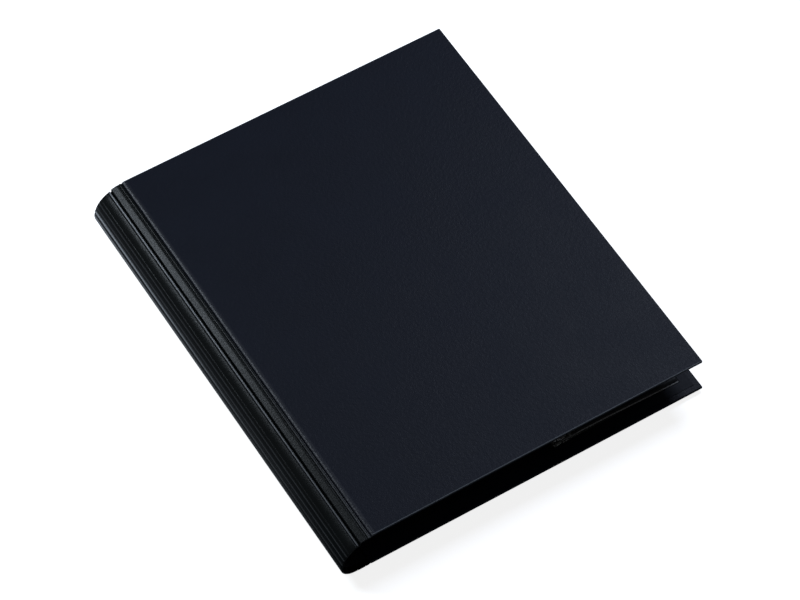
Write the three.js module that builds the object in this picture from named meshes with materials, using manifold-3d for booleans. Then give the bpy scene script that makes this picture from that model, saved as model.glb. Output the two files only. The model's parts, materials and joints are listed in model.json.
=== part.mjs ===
// Conference folder for A4 sheets: a hard case of board covered with grained black paper,
// with a rounded spine, folding hinge strips, inner pockets and a ring mechanism.
// Millimetres. X runs from the spine to the fore-edge, Y from the tail to the head, Z up.
// Sections are drawn in (s, z), where s is measured from the spine's outermost line.

import * as THREE from 'three';
import { mergeVertices } from 'three/addons/utils/BufferGeometryUtils.js';
import Module from 'manifold-3d';

const wasm = await Module();
wasm.setup();

// Overall size of the closed folder
const folderHeight = 315;
const folderWidth = 267;
const folderThickness = 33;
const frontShortfall = 2;

// Layers of the case
const skinThickness = 0.35;
const boardThickness = 1.3;
const liningThickness = 0.25;
const glueLine = 0.05;
const turnIn = 10;
const liningMargin = 4;
const liningStartInset = 1.5;
const edgeRadius = 0.5;
const leastCorner = 0.05;
const mergeDistance = 1e-4;

// Hinge side of each cover, measured from the spine's outermost line
const boardStart = 22.8;
const foldLine = 20.3;
const foldGap = 0.4;
const shoulderDrop = 1;

// Rounded spine
const spineRadius = 20;
const grooveLine = 12;
const grooveGap = 0.8;
const spineEndDrop = 3.6;
const underLift = 0.4;
const beadHeight = 0.35;
const beadWidth = 1.6;
const beadFromEnd = 1.3;
const beadClearance = 0.1;
const beadShares = [-1, -0.6, -0.2, 0.2, 0.6, 1];
const scoreDepth = 0.18;
const scoreWidth = 0.6;
const scoreSpacing = 2.95;
const scoreCount = 3;
const firstScore = 10.7;
const bellyScore = 2.2;

// Hinge strips
const stripThickness = 0.6;
const stripDrop = 2;
const stripScoreFromFold = 2.9;
const stripScoreDepth = 0.3;
const stripScoreWidth = 0.7;
const stripRidgeHeight = 0.2;
const stripRidgeFromFold = 1.4;
const stripLipDrop = 1.2;
const stripLipWidth = 0.2;
const stripLipEase = 0.4;
const stripFoldEase = 0.1;

// Pocket on the inside of the back cover
const pocketMargin = 1;
const pocketMouth = 163;
const pocketDepth = 2.6;
const pocketSheet = 0.3;
const gussetWidth = 6;
const gussetFoldInset = 0.9;
const foreFlange = 4;

// Pockets on the inside of the front cover
const frontPocketStart = 54;
const frontPocketForeMargin = 14;
const frontPocketHeight = 176;
const frontPocketDepth = 0.8;
const cardPocketWidth = 98;
const cardPocketHeight = 60;
const cardPocketDepth = 0.6;
const cardPocketInset = 18;

// Ring mechanism
const ringSpacing = 80;
const ringLine = 35;
const ringRadius = 11;
const wireDiameter = 3;
const ringHeadroom = 3.4;
const ringTipGap = 0.3;
const ringFootOffset = 6.4;
const ringFootLength = 0.9;
const ringJoinAngle = -30;
const ringBendShare = 0.45;
const housingWidth = 20;
const housingOverhang = 17;
const housingWall = 0.8;
const housingSideHeight = 3;
const housingRise = 3.6;
const bladeThickness = 1;
const bladeLift = 1.9;
const bladeSideGap = 0.3;
const bladeMiddleGap = 0.4;
const bladeEndInset = 4.4;
const slotClearance = 0.6;
const seatGap = 0.05;
const roofGap = 0.1;

// Rivets that hold the housing to the back board
const rivetSpacing = 44;
const rivetShankRadius = 2;
const rivetShoulderRadius = 2.9;
const rivetFlangeRadius = 5;
const rivetFlangeThickness = 0.5;
const rivetHeadRadius = 3.4;
const rivetHeadHeight = 1.1;
const rivetHoleClearance = 0.2;

// Levers at the ends of the housing
const leverWidth = 9;
const leverArmLength = 15;
const leverArmThickness = 1.1;
const leverArmAngle = 50;
const leverTongueLength = 4.5;
const leverTongueWidth = 2.4;
const leverTongueThickness = 0.8;
const leverBarrelRadius = 1.35;
const leverTipRadius = 1.2;
const leverPinRadius = 0.8;
const leverPinInset = 2.2;
const leverPinHeight = 1.5;
const pinClearance = 0.15;

// Values worked out from the sizes above
const halfHeight = folderHeight / 2;
const frontForeEdge = folderWidth - frontShortfall;
const boardFace = skinThickness + glueLine;
const boardBack = boardFace + boardThickness;
const edgeThickness = boardBack + glueLine + skinThickness;
const liningFace = boardBack + glueLine + liningThickness;
const coverHingeEdge = foldLine + foldGap / 2;
const stripFoldEnd = foldLine - foldGap / 2;
const spineEnd = grooveLine - grooveGap / 2;
const stripGrooveEnd = grooveLine + grooveGap / 4;
const spineEndAngle = Math.acos((spineRadius - spineEnd) / spineRadius);
const bellyHeight = folderThickness - spineEndDrop - spineRadius * Math.sin(spineEndAngle);
const footRadius = bellyHeight - underLift;
const spineFootEnd = grooveLine - foldGap / 2;
const stripFootStart = grooveLine + foldGap / 2;
const frontLiningZ = folderThickness - liningFace;

const ringTop = frontLiningZ - ringHeadroom;
const ringCentreZ = ringTop - wireDiameter / 2 - ringRadius;
const housingFloorZ = liningFace + seatGap;
const housingHalf = housingWidth / 2;
const housingLength = ringSpacing + 2 * housingOverhang;
const housingShoulderZ = housingFloorZ + housingSideHeight;
const housingTopZ = housingShoulderZ + housingRise;
const bladeBottomZ = liningFace + bladeLift;
const bladeTopZ = bladeBottomZ + bladeThickness;
const bladeOuter = housingHalf - housingWall - bladeSideGap;
const leverPinY = housingLength / 2 - leverPinInset;
const leverPinZ = liningFace + leverPinHeight;
const liningEnd = halfHeight - liningMargin;

// Straight pieces that stand for one round stretch
const cornerSteps = 4;
const shoulderSteps = 8;
const spineSteps = 24;
const footSteps = 14;
const roofSteps = 24;
const headSteps = 8;
const ringArcSteps = 30;
const ringSteps = 40;
const wireSides = 12;
const rodSides = 20;
const shankSides = 24;
const rivetSides = 28;
const cutMargin = 1;

// Finishes
function finish(color, roughness, metalness) {
  return new THREE.MeshStandardMaterial({ color, roughness, metalness });
}
const coverPaper = finish(0x16191f, 0.55, 0);
const spinePaper = finish(0x14171a, 0.45, 0);
const greyBoard = finish(0x6e6a62, 0.95, 0);
const liningPaper = finish(0x101114, 0.8, 0);
const pocketPaper = finish(0x1b1c20, 0.75, 0);
const gussetCloth = finish(0x2a2b2f, 0.9, 0);
const nickelledSteel = finish(0xb9bcc0, 0.22, 1);
const springSteel = finish(0x9a9da2, 0.35, 1);

// Manifold solids from closed geometries, and back
function solidOf(geometry) {
  const bare = geometry.clone();
  bare.deleteAttribute('normal');
  bare.deleteAttribute('uv');
  const merged = mergeVertices(bare, mergeDistance);
  return new wasm.Manifold(new wasm.Mesh({
    numProp: 3,
    vertProperties: new Float32Array(merged.attributes.position.array),
    triVerts: new Uint32Array(merged.index.array),
  }));
}

function geometryOf(solid) {
  const mesh = solid.getMesh();
  const geometry = new THREE.BufferGeometry();
  geometry.setAttribute('position', new THREE.BufferAttribute(mesh.vertProperties, 3));
  geometry.setIndex(new THREE.BufferAttribute(mesh.triVerts, 1));
  geometry.computeVertexNormals();
  return geometry;
}

// Shapes drawn in a section and run along Y or X, and plain blocks
function alongY(outline, yLow, yHigh) {
  const shape = new THREE.Shape(outline.map(([s, z]) => new THREE.Vector2(s, z)));
  const geometry = new THREE.ExtrudeGeometry(shape, { depth: yHigh - yLow, bevelEnabled: false });
  geometry.rotateX(Math.PI / 2);
  geometry.translate(0, yHigh, 0);
  return geometry;
}

function alongX(outline, xLow, xHigh) {
  const shape = new THREE.Shape(outline.map(([y, z]) => new THREE.Vector2(y, z)));
  const geometry = new THREE.ExtrudeGeometry(shape, { depth: xHigh - xLow, bevelEnabled: false });
  geometry.rotateX(Math.PI / 2);
  geometry.rotateZ(Math.PI / 2);
  geometry.translate(xLow, 0, 0);
  return geometry;
}

function block(xLow, xHigh, yLow, yHigh, zLow, zHigh) {
  const geometry = new THREE.BoxGeometry(xHigh - xLow, yHigh - yLow, zHigh - zLow);
  geometry.translate((xLow + xHigh) / 2, (yLow + yHigh) / 2, (zLow + zHigh) / 2);
  return geometry;
}

function rodAlongX(radius, xLow, xHigh, y, z) {
  const geometry = new THREE.CylinderGeometry(radius, radius, xHigh - xLow, rodSides);
  geometry.rotateZ(Math.PI / 2);
  geometry.translate((xLow + xHigh) / 2, y, z);
  return geometry;
}

function rodAlongZ(radius, x, y, zLow, zHigh) {
  const geometry = new THREE.CylinderGeometry(radius, radius, zHigh - zLow, shankSides);
  geometry.rotateX(Math.PI / 2);
  geometry.translate(x, y, (zLow + zHigh) / 2);
  return geometry;
}

// Points of an elliptical arc, angles in degrees
function arc(centreS, centreZ, radiusS, radiusZ, from, to, steps) {
  const points = [];
  for (let i = 0; i <= steps; i += 1) {
    const angle = THREE.MathUtils.degToRad(from + ((to - from) * i) / steps);
    points.push([centreS + radiusS * Math.cos(angle), centreZ + radiusZ * Math.sin(angle)]);
  }
  return points;
}

// A cover is drawn by depth from its outer face; this turns depth into height
function heightOn(side, depth) {
  return side === 'front' ? folderThickness - depth : depth;
}

function onSide(side, outline) {
  return outline.map(([s, depth]) => [s, heightOn(side, depth)]);
}

function sideBlock(side, sLow, sHigh, yLow, yHigh, depthLow, depthHigh) {
  const zA = heightOn(side, depthLow);
  const zB = heightOn(side, depthHigh);
  return block(sLow, sHigh, yLow, yHigh, Math.min(zA, zB), Math.max(zA, zB));
}

// Section of a cover, drawn in by an inset: a rounded shoulder at the hinge, eased fore-edge
function coverOutline(foreEdge, inset) {
  const corner = Math.max(edgeRadius - inset, leastCorner);
  const high = edgeThickness - inset;
  const fore = foreEdge - inset;
  const hinge = coverHingeEdge + inset;
  const shoulderS = boardStart - coverHingeEdge - inset;
  return [
    ...arc(fore - corner, inset + corner, corner, corner, -90, 0, cornerSteps),
    ...arc(fore - corner, high - corner, corner, corner, 0, 90, cornerSteps),
    [hinge, high],
    ...arc(boardStart, shoulderDrop, shoulderS, shoulderDrop - inset, 180, 270, shoulderSteps),
  ];
}

// Covering of a cover, wrapped round the board and turned in over its inner face
function coverSkin(side, foreEdge) {
  const outer = solidOf(alongY(onSide(side, coverOutline(foreEdge, 0)), -halfHeight, halfHeight));
  const cavityEnd = halfHeight - skinThickness;
  const cavityOutline = onSide(side, coverOutline(foreEdge, skinThickness));
  const cavity = solidOf(alongY(cavityOutline, -cavityEnd, cavityEnd));
  const windowEnd = halfHeight - turnIn;
  const windowLow = coverHingeEdge + skinThickness;
  const window = solidOf(sideBlock(
    side, windowLow, foreEdge - turnIn, -windowEnd, windowEnd, boardBack, edgeThickness + cutMargin,
  ));
  return geometryOf(outer.subtract(cavity).subtract(window));
}

function coverBoard(side, foreEdge) {
  const end = halfHeight - boardFace;
  return alongY(onSide(side, coverOutline(foreEdge, boardFace)), -end, end);
}

// Lining sheet: down on the board in the middle, stepping up over the turned-in covering
function coverLining(side, foreEdge) {
  const start = boardStart + liningStartInset;
  const rimFace = edgeThickness + glueLine;
  const middleEnd = halfHeight - turnIn - glueLine;
  const middleFore = foreEdge - turnIn - glueLine;
  const rim = solidOf(sideBlock(
    side, start, foreEdge - liningMargin, -liningEnd, liningEnd, rimFace, rimFace + liningThickness,
  ));
  const middle = solidOf(sideBlock(
    side, start, middleFore, -middleEnd, middleEnd, boardBack + glueLine, rimFace + liningThickness,
  ));
  const recess = solidOf(sideBlock(
    side, start - cutMargin, middleFore - liningThickness,
    -middleEnd + liningThickness, middleEnd - liningThickness, liningFace, rimFace + cutMargin,
  ));
  return rim.add(middle).subtract(recess);
}

// Raised and pressed lines on the rounded part of the spine, by distance along it from the belly
function scorePositions() {
  const positions = [bellyScore];
  for (let i = 0; i < scoreCount; i += 1) {
    positions.push(firstScore + i * scoreSpacing);
  }
  return positions;
}

// Stations along the spine's upper arc, from the groove down to the belly, each with its lift
function plainStations() {
  const stations = [];
  for (let i = spineSteps; i >= 0; i -= 1) {
    stations.push([(spineRadius * spineEndAngle * i) / spineSteps, 0]);
  }
  return stations;
}

function clearOf(stations, position, reach) {
  return stations.filter(([along]) => Math.abs(along - position) >= reach);
}

function reliefStations() {
  const beadCentre = spineRadius * spineEndAngle - beadFromEnd;
  let stations = clearOf(plainStations(), beadCentre, beadWidth / 2 + beadClearance);
  for (const share of beadShares) {
    const lift = beadHeight * Math.cos((share * Math.PI) / 2);
    stations.push([beadCentre + (share * beadWidth) / 2, lift]);
  }
  for (const position of scorePositions()) {
    stations = clearOf(stations, position, scoreWidth);
    stations.push([position - scoreWidth / 2, 0]);
    stations.push([position, -scoreDepth]);
    stations.push([position + scoreWidth / 2, 0]);
  }
  return stations.sort((a, b) => b[0] - a[0]);
}

// One face of the spine, from the groove over the belly to the foot, at a depth below the outside
function spineFace(depth, stations) {
  const points = [];
  for (const [along, lift] of stations) {
    const angle = along / spineRadius;
    const radius = spineRadius - depth + lift;
    points.push([spineRadius - radius * Math.cos(angle), bellyHeight + radius * Math.sin(angle)]);
  }
  const inner = footRadius - depth;
  points.push(...arc(footRadius, bellyHeight, inner, inner, 180, 270, footSteps).slice(1));
  points.push([spineFootEnd, underLift + depth]);
  return points;
}

function spineLayer(depthLow, depthHigh, end, outerStations) {
  const outer = spineFace(depthLow, outerStations);
  const inner = spineFace(depthHigh, plainStations()).reverse();
  return alongY([...outer, ...inner], -end, end);
}

// Hinge strip at the front: a slanting flat with a pressed line and a low ridge by the fold
function frontStripFace() {
  const high = folderThickness - shoulderDrop;
  const low = folderThickness - stripDrop;
  const slope = (high - low) / (stripFoldEnd - grooveLine - grooveGap);
  const surface = (s) => low + slope * (s - grooveLine - grooveGap);
  const score = stripFoldEnd - stripScoreFromFold;
  const ridge = stripFoldEnd - stripRidgeFromFold;
  return [
    [stripGrooveEnd, low - stripLipDrop],
    [stripGrooveEnd + stripLipWidth, low - stripLipEase],
    [grooveLine + grooveGap, low],
    [score - stripScoreWidth / 2, surface(score - stripScoreWidth / 2)],
    [score, surface(score) - stripScoreDepth],
    [score + stripScoreWidth / 2, surface(score + stripScoreWidth / 2)],
    [ridge, surface(ridge) + stripRidgeHeight],
    [stripFoldEnd, surface(stripFoldEnd) - stripFoldEase],
  ];
}

function frontStrip() {
  const face = frontStripFace();
  const foldZ = face[face.length - 1][1];
  const startZ = folderThickness - stripDrop - stripThickness;
  const outline = [
    ...face,
    [stripFoldEnd, foldZ - stripThickness],
    [grooveLine + grooveGap + stripThickness / 2, startZ],
    [stripGrooveEnd + stripThickness / 2, folderThickness - stripDrop - stripLipDrop],
  ];
  return alongY(outline, -halfHeight, halfHeight);
}

function frontStripLining() {
  const foldZ = frontStripFace().at(-1)[1] - stripThickness - glueLine;
  const startZ = folderThickness - stripDrop - stripThickness - glueLine;
  const start = grooveLine + grooveGap + stripThickness;
  return alongY([
    [stripFoldEnd, foldZ],
    [start, startZ],
    [start, startZ - liningThickness],
    [stripFoldEnd, foldZ - liningThickness],
  ], -liningEnd, liningEnd);
}

// Hinge strip at the back, which lies almost flat just above the table
function backStrip() {
  const score = stripFoldEnd - stripScoreFromFold;
  const face = underLift;
  return alongY([
    [stripFootStart, face],
    [score - stripScoreWidth / 2, face],
    [score, face + stripScoreDepth],
    [score + stripScoreWidth / 2, face],
    [stripFoldEnd, face + stripRidgeHeight],
    [stripFoldEnd, face + stripRidgeHeight + stripThickness],
    [stripFootStart, face + stripThickness],
  ], -halfHeight, halfHeight);
}

function backStripLining() {
  const low = underLift + stripThickness + glueLine;
  return alongY([
    [stripFootStart, low],
    [stripFoldEnd, low + stripRidgeHeight],
    [stripFoldEnd, low + stripRidgeHeight + liningThickness],
    [stripFootStart, low + liningThickness],
  ], -liningEnd, liningEnd);
}

// Pocket on the back cover: a panel held down at the fore-edge, with a folded gusset at each end
const pocketEnd = halfHeight - turnIn - pocketMargin;
const pocketFore = folderWidth - turnIn - pocketMargin;
const pocketFloor = liningFace + seatGap;

function backPocketPanel() {
  const low = pocketFloor + pocketDepth;
  return alongY([
    [pocketMouth, low],
    [pocketFore - foreFlange, low],
    [pocketFore - pocketSheet, pocketFloor],
    [pocketFore, pocketFloor],
    [pocketFore - foreFlange + pocketSheet, low + pocketSheet],
    [pocketMouth, low + pocketSheet],
  ], -pocketEnd, pocketEnd);
}

function pocketGusset(end) {
  const height = pocketDepth - glueLine;
  const outline = [
    [0, 0],
    [gussetWidth, 0],
    [gussetWidth, pocketSheet],
    [gussetFoldInset, height - pocketSheet],
    [gussetWidth, height - pocketSheet],
    [gussetWidth, height],
    [0, height],
    [0, height - pocketSheet],
    [gussetWidth - gussetFoldInset, pocketSheet],
    [0, pocketSheet],
  ].map(([inwards, up]) => [end * (pocketEnd - inwards), pocketFloor + up]);
  return alongX(outline, pocketMouth, pocketFore - foreFlange - pocketSheet);
}

// A flat pocket glued down on three sides, open towards the head
function flatPocket(sLow, sHigh, yLow, yHigh, seatDepth, depth) {
  const outer = solidOf(sideBlock(
    'front', sLow, sHigh, yLow, yHigh, seatDepth, seatDepth + depth + pocketSheet,
  ));
  const inside = solidOf(sideBlock(
    'front', sLow + pocketSheet, sHigh - pocketSheet, yLow + pocketSheet, yHigh + cutMargin,
    seatDepth - cutMargin, seatDepth + depth,
  ));
  return geometryOf(outer.subtract(inside));
}

const frontPocketFore = frontForeEdge - turnIn - frontPocketForeMargin;
const frontPocketSeat = liningFace + seatGap;
const cardPocketSeat = frontPocketSeat + frontPocketDepth + pocketSheet + seatGap;

function frontPocketPanel() {
  const tail = -halfHeight + turnIn + pocketMargin;
  return flatPocket(
    frontPocketStart, frontPocketFore, tail, tail + frontPocketHeight,
    frontPocketSeat, frontPocketDepth,
  );
}

function cardPocket() {
  const tail = -halfHeight + turnIn + pocketMargin + cardPocketInset;
  const fore = frontPocketFore - cardPocketInset;
  return flatPocket(
    fore - cardPocketWidth, fore, tail, tail + cardPocketHeight, cardPocketSeat, cardPocketDepth,
  );
}

// Ring mechanism, drawn about its own middle line and placed by its group
const ringPlaces = { tail: -ringSpacing / 2, head: ringSpacing / 2 };
const rivetPlaces = { tail: -rivetSpacing / 2, head: rivetSpacing / 2 };

function archOutline(half, shoulderZ, rise) {
  return [
    [half, housingFloorZ],
    ...arc(0, shoulderZ, half, rise, 0, 180, roofSteps),
    [-half, housingFloorZ],
  ];
}

function ringHousing() {
  const end = housingLength / 2;
  const innerHalf = housingHalf - housingWall;
  const innerRise = housingRise - housingWall;
  const inner = archOutline(innerHalf, housingShoulderZ, innerRise);
  inner[0][1] = housingFloorZ - cutMargin;
  inner[inner.length - 1][1] = housingFloorZ - cutMargin;
  let housing = solidOf(alongY(archOutline(housingHalf, housingShoulderZ, housingRise), -end, end));
  housing = housing.subtract(solidOf(alongY(inner, -end - cutMargin, end + cutMargin)));
  const slotHalf = wireDiameter / 2 + slotClearance;
  const slotInner = ringFootOffset - wireDiameter / 2 - slotClearance;
  for (const y of Object.values(ringPlaces)) {
    for (const side of [-1, 1]) {
      const xA = side * slotInner;
      const xB = side * (housingHalf + cutMargin);
      const low = Math.min(xA, xB);
      const high = Math.max(xA, xB);
      const slotTop = housingTopZ + cutMargin;
      const slot = block(low, high, y - slotHalf, y + slotHalf, bladeTopZ, slotTop);
      housing = housing.subtract(solidOf(slot));
    }
  }
  const holeRadius = rivetShankRadius + rivetHoleClearance;
  for (const y of Object.values(rivetPlaces)) {
    const hole = rodAlongZ(holeRadius, 0, y, housingShoulderZ, housingTopZ + cutMargin);
    housing = housing.subtract(solidOf(hole));
  }
  for (const y of [-leverPinY, leverPinY]) {
    const reach = housingHalf + cutMargin;
    const hole = rodAlongX(leverPinRadius + pinClearance, -reach, reach, y, leverPinZ);
    housing = housing.subtract(solidOf(hole));
  }
  return geometryOf(housing);
}

// Blade: one of the two plates that carry the ring halves inside the housing
function blade(side) {
  const xA = side * (bladeMiddleGap / 2);
  const xB = side * bladeOuter;
  const end = housingLength / 2 - bladeEndInset;
  const plate = block(Math.min(xA, xB), Math.max(xA, xB), -end, end, bladeBottomZ, bladeTopZ);
  let solid = solidOf(plate);
  for (const y of Object.values(rivetPlaces)) {
    const notchRadius = rivetShoulderRadius + slotClearance;
    const notch = rodAlongZ(notchRadius, 0, y, bladeBottomZ - cutMargin, bladeTopZ + cutMargin);
    solid = solid.subtract(solidOf(notch));
  }
  return geometryOf(solid);
}

// Centre line of a ring half: a short foot on the blade, then out and round to the top
function ringHalfPath(side) {
  const footX = side * ringFootOffset;
  const footZ = bladeTopZ + seatGap;
  const bendZ = footZ + ringFootLength;
  const joinAngle = THREE.MathUtils.degToRad(ringJoinAngle);
  const tipAngle = THREE.MathUtils.radToDeg(Math.acos(ringTipGap / 2 / ringRadius));
  const join = new THREE.Vector3(
    side * ringRadius * Math.cos(joinAngle), 0, ringCentreZ + ringRadius * Math.sin(joinAngle),
  );
  const joinDirection = new THREE.Vector3(-side * Math.sin(joinAngle), 0, Math.cos(joinAngle));
  const reach = (join.z - bendZ) * ringBendShare;
  const path = new THREE.CurvePath();
  path.add(new THREE.LineCurve3(
    new THREE.Vector3(footX, 0, footZ), new THREE.Vector3(footX, 0, bendZ),
  ));
  path.add(new THREE.CubicBezierCurve3(
    new THREE.Vector3(footX, 0, bendZ),
    new THREE.Vector3(footX, 0, bendZ + reach),
    join.clone().addScaledVector(joinDirection, -reach),
    join,
  ));
  const round = arc(
    0, ringCentreZ, ringRadius, ringRadius, ringJoinAngle, tipAngle, ringArcSteps,
  );
  const points = round.map(([x, z]) => new THREE.Vector3(side * x, 0, z));
  path.add(new THREE.CatmullRomCurve3(points));
  return path;
}

function ringHalf(side) {
  const radius = wireDiameter / 2;
  const corners = arc(0, 0, radius, radius, 0, 360, wireSides).slice(1);
  const section = new THREE.Shape(corners.map(([x, y]) => new THREE.Vector2(x, y)));
  return new THREE.ExtrudeGeometry(section, {
    steps: ringSteps, bevelEnabled: false, extrudePath: ringHalfPath(side),
  });
}

function housingRivet() {
  const flangeTop = boardFace + rivetFlangeThickness;
  const shoulderLow = housingFloorZ;
  const roofShare = Math.sqrt(1 - (rivetShoulderRadius / (housingHalf - housingWall)) ** 2);
  const shoulderHigh = housingShoulderZ + (housingRise - housingWall) * roofShare - roofGap;
  const headLow = housingTopZ + seatGap;
  const profile = [
    [0, boardFace],
    [rivetFlangeRadius, boardFace],
    [rivetFlangeRadius, flangeTop],
    [rivetShankRadius, flangeTop],
    [rivetShankRadius, shoulderLow],
    [rivetShoulderRadius, shoulderLow],
    [rivetShoulderRadius, shoulderHigh],
    [rivetShankRadius, shoulderHigh],
    [rivetShankRadius, headLow],
    ...arc(0, headLow, rivetHeadRadius, rivetHeadHeight, 0, 90, headSteps),
  ].map(([r, z]) => new THREE.Vector2(r, z));
  profile[profile.length - 1].x = 0;
  const geometry = new THREE.LatheGeometry(profile, rivetSides);
  geometry.rotateX(Math.PI / 2);
  return geometry;
}

// Holes for the rivets through the back board and its lining
function drillForRivets(solid, flangeDepth) {
  let drilled = solid;
  const holeRadius = rivetShankRadius + rivetHoleClearance;
  for (const y of Object.values(rivetPlaces)) {
    const hole = rodAlongZ(holeRadius, ringLine, y, -cutMargin, liningFace + cutMargin);
    drilled = drilled.subtract(solidOf(hole));
    if (flangeDepth > 0) {
      const seatRadius = rivetFlangeRadius + rivetHoleClearance;
      const seat = rodAlongZ(seatRadius, ringLine, y, -cutMargin, flangeDepth);
      drilled = drilled.subtract(solidOf(seat));
    }
  }
  return geometryOf(drilled);
}

// Lever: barrel on its pin, tongue under the blades, arm rising out of the housing's open end
function lever(end) {
  const half = leverWidth / 2;
  const pinY = end * leverPinY;
  const arm = new THREE.BoxGeometry(leverWidth, leverArmLength, leverArmThickness);
  arm.translate(0, leverArmLength / 2, 0);
  arm.rotateX(THREE.MathUtils.degToRad(leverArmAngle));
  const tip = rodAlongX(leverTipRadius, -half, half, leverArmLength, 0);
  tip.rotateX(THREE.MathUtils.degToRad(leverArmAngle));
  const barrel = rodAlongX(leverBarrelRadius, -half, half, 0, 0);
  const tongueHalf = leverTongueWidth / 2;
  const tongue = block(-tongueHalf, tongueHalf, -leverTongueLength, 0, -leverTongueThickness, 0);
  const boreReach = half + cutMargin;
  const bore = rodAlongX(leverPinRadius + pinClearance, -boreReach, boreReach, 0, 0);
  const solid = solidOf(arm).add(solidOf(tip)).add(solidOf(barrel)).add(solidOf(tongue));
  const geometry = geometryOf(solid.subtract(solidOf(bore)));
  if (end < 0) {
    geometry.rotateZ(Math.PI);
  }
  geometry.translate(0, pinY, leverPinZ);
  return geometry;
}

// Assembly
const folder = new THREE.Group();
folder.position.x = -folderWidth / 2;

const mechanism = new THREE.Group();
mechanism.position.x = ringLine;
folder.add(mechanism);

function addPiece(parent, name, geometry, material, y = 0) {
  const mesh = new THREE.Mesh(geometry, material);
  mesh.name = name;
  mesh.position.y = y;
  parent.add(mesh);
}

const rivetSeatDepth = boardFace + rivetFlangeThickness + glueLine;

addPiece(folder, 'back_skin', coverSkin('back', folderWidth), coverPaper);
const backBoard = drillForRivets(solidOf(coverBoard('back', folderWidth)), rivetSeatDepth);
addPiece(folder, 'back_board', backBoard, greyBoard);
const backLining = drillForRivets(coverLining('back', folderWidth), 0);
addPiece(folder, 'back_lining', backLining, liningPaper);
addPiece(folder, 'back_pocket_panel', backPocketPanel(), pocketPaper);
addPiece(folder, 'back_pocket_gusset_tail', pocketGusset(-1), gussetCloth);
addPiece(folder, 'back_pocket_gusset_head', pocketGusset(1), gussetCloth);

addPiece(folder, 'back_hinge_strip', backStrip(), spinePaper);
addPiece(folder, 'back_hinge_lining', backStripLining(), liningPaper);

const spineSkin = spineLayer(0, skinThickness, halfHeight, reliefStations());
addPiece(folder, 'spine_skin', spineSkin, spinePaper);
const spineBoard = spineLayer(boardFace, boardBack, halfHeight, plainStations());
addPiece(folder, 'spine_board', spineBoard, greyBoard);
const spineLining = spineLayer(boardBack + glueLine, liningFace, liningEnd, plainStations());
addPiece(folder, 'spine_lining', spineLining, liningPaper);

addPiece(folder, 'front_hinge_strip', frontStrip(), spinePaper);
addPiece(folder, 'front_hinge_lining', frontStripLining(), liningPaper);

addPiece(folder, 'front_skin', coverSkin('front', frontForeEdge), coverPaper);
addPiece(folder, 'front_board', coverBoard('front', frontForeEdge), greyBoard);
addPiece(folder, 'front_lining', geometryOf(coverLining('front', frontForeEdge)), liningPaper);
addPiece(folder, 'front_pocket_panel', frontPocketPanel(), pocketPaper);
addPiece(folder, 'card_pocket', cardPocket(), pocketPaper);

addPiece(mechanism, 'ring_housing', ringHousing(), nickelledSteel);
for (const [place, y] of Object.entries(rivetPlaces)) {
  addPiece(mechanism, `housing_rivet_${place}`, housingRivet(), nickelledSteel, y);
}
for (const [sideName, side] of [['left', -1], ['right', 1]]) {
  addPiece(mechanism, `${sideName}_blade`, blade(side), springSteel);
  for (const [place, y] of Object.entries(ringPlaces)) {
    addPiece(mechanism, `${sideName}_ring_half_${place}`, ringHalf(side), nickelledSteel, y);
  }
}
for (const [place, end] of [['tail', -1], ['head', 1]]) {
  const pinY = end * leverPinY;
  const pin = rodAlongX(leverPinRadius, -housingHalf, housingHalf, pinY, leverPinZ);
  addPiece(mechanism, `lever_pin_${place}`, pin, springSteel);
  addPiece(mechanism, `lever_${place}`, lever(end), nickelledSteel);
}

export default folder;
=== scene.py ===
# %% [markdown]
# # A conference folder, closed and lying on its back cover
#
# The folder is a hard case: grey board wrapped in a grained black paper, with a rounded
# spine, a folding strip on each side of the spine, a pocket on the inside of the back cover
# and a two-ring mechanism. Its measured parts come from the frame. This lesson makes the
# covering, the folds and the finishes that the eye sees.
#
# Sections are drawn in (s, z) in millimetres: s runs from the spine's outermost line to the
# fore-edge, and z is the height above the table.

import json
import math

import bmesh
import bpy
from mathutils import Matrix, Vector, noise


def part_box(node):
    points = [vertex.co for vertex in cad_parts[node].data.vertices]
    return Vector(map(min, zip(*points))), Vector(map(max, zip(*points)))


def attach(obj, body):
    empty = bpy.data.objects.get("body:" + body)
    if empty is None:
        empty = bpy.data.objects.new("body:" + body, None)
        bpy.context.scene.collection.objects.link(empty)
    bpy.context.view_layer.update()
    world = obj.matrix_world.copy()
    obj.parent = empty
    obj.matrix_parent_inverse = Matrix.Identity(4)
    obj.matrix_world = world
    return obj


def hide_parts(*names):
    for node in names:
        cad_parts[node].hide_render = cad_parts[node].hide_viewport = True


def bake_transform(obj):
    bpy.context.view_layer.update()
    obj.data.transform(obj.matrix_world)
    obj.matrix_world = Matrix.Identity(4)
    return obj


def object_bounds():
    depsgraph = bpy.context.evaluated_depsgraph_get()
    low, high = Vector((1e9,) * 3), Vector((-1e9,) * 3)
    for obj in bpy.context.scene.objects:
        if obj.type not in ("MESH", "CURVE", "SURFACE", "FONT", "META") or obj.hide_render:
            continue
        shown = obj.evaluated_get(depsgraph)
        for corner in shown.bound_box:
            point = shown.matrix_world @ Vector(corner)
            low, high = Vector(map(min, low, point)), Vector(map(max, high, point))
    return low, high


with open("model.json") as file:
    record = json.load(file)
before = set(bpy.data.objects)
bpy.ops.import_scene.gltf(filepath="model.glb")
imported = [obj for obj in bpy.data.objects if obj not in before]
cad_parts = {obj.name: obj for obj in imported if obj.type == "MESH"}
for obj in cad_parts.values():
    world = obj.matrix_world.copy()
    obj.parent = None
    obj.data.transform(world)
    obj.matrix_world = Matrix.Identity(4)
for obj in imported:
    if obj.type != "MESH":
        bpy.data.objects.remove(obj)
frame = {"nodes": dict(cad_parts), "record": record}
cad_low, cad_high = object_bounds()

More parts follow.
